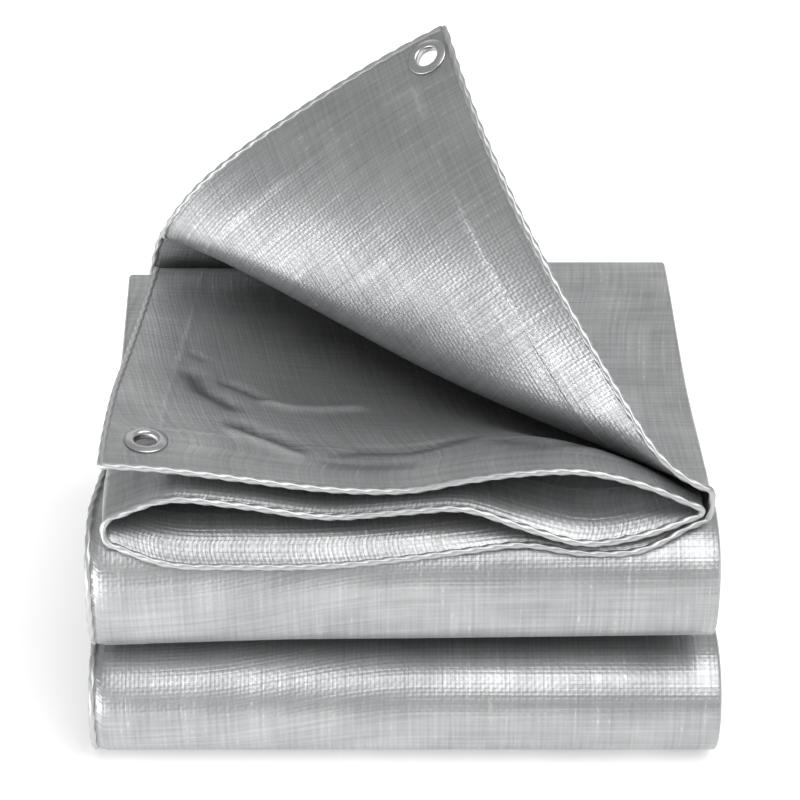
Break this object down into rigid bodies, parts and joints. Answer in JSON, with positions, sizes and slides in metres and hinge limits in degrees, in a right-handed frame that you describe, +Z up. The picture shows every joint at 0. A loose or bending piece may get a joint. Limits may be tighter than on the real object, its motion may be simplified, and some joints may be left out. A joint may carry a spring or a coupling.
{
  "type": "folded tarp",
  "caption": "Silver-grey woven tarp folded into a flat bundle, one corner turned up, with roped hems and round eyelets for tying down.",
  "frame": {"origin": "middle of the bundle's footprint, on the surface that it lies on", "axes": "+X to the right along the folded front, +Y from the folded front to the back, +Z up"},
  "size_m": [0.3314, 0.2758, 0.3301],
  "materials": {
    "tarp_cloth": "coated plain weave with a soft silver sheen",
    "eyelet_metal": "bright pressed"
  },
  "bodies": {
    "root": {"tarp_sheet": "tarp_cloth", "hem_strip_flap": "tarp_cloth", "hem_strip_top": "tarp_cloth", "eyelet_flap": "eyelet_metal", "eyelet_top": "eyelet_metal"}
  },
  "joints": []
}
